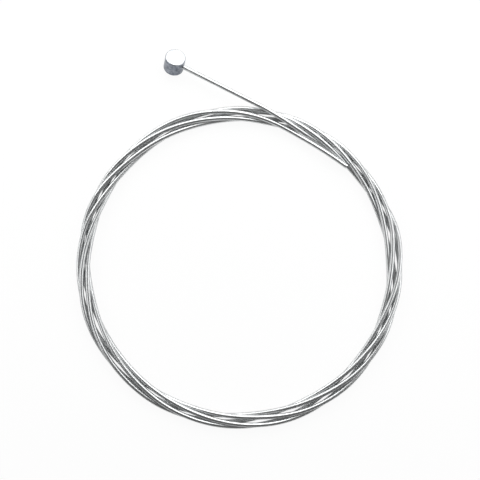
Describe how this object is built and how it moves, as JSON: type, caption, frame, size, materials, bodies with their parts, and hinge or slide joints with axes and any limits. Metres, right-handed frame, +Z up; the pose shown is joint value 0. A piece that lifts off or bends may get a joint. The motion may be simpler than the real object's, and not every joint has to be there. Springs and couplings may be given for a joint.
{
  "type": "bicycle brake cable",
  "caption": "Bicycle brake inner cable of twisted steel wire with a cast barrel end, wound in a loose twisted coil that lies flat.",
  "frame": {"origin": "on the surface that the coil lies on, under the middle of the whole cable's box", "axes": "+Z up from the flat coil, +Y towards the side where the barrel end stands out of the coil, +X to the right of it"},
  "size_m": [0.1138, 0.1316, 0.0083],
  "materials": {
    "stainless_strand": "drawn stainless wire",
    "cast_zinc": "cast zinc alloy, lightly tumbled"
  },
  "bodies": {
    "root": {"cable": "stainless_strand", "barrel_end": "cast_zinc"}
  },
  "joints": []
}
